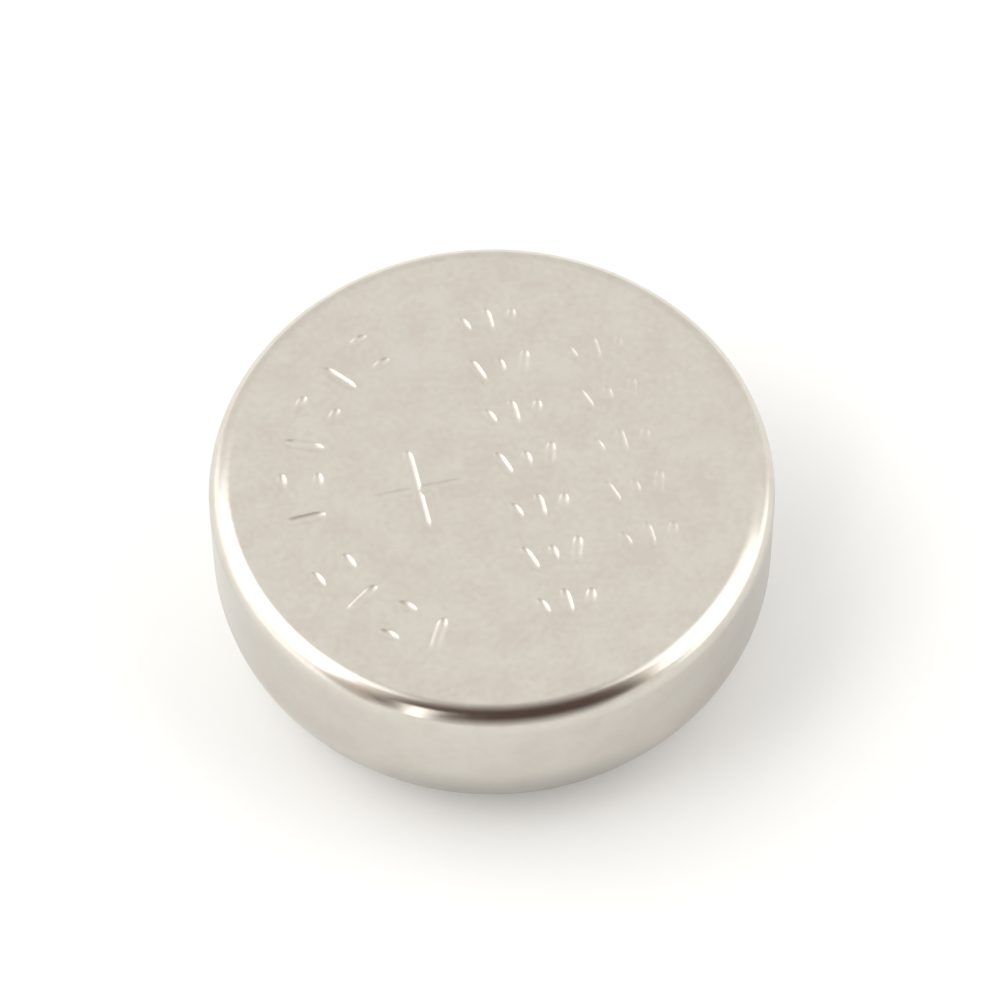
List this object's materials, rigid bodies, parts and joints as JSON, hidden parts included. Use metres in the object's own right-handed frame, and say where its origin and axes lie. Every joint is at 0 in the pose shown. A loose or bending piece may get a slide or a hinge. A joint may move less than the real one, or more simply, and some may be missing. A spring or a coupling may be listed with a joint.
{
  "type": "button cell",
  "caption": "Small round watch-type button cell: crimped nickel-plated steel can with a stamped plus sign, nylon gasket ring, stepped negative cap, and its filling.",
  "frame": {"origin": "centre of the negative cap's outer face, where the cell stands", "axes": "+Z along the cell's axis, from the negative cap up to the positive face; +Y away from the viewer, so the plus sign is left of the axis"},
  "size_m": [0.0068, 0.0068, 0.0026],
  "materials": {
    "nickel_can": "satin nickel plate",
    "nylon_gasket": "moulded, milky",
    "nickel_cap": "satin nickel clad",
    "pressed_oxide": "pressed powder",
    "barrier_film": "laminated film",
    "nonwoven_pad": "soaked nonwoven",
    "zinc_gel": "metal powder in gel"
  },
  "bodies": {
    "root": {"positive_can": "nickel_can", "gasket": "nylon_gasket", "negative_cap": "nickel_cap", "cathode_pellet": "pressed_oxide", "separator_film": "barrier_film", "separator_pad": "nonwoven_pad", "anode_gel": "zinc_gel"}
  },
  "joints": []
}
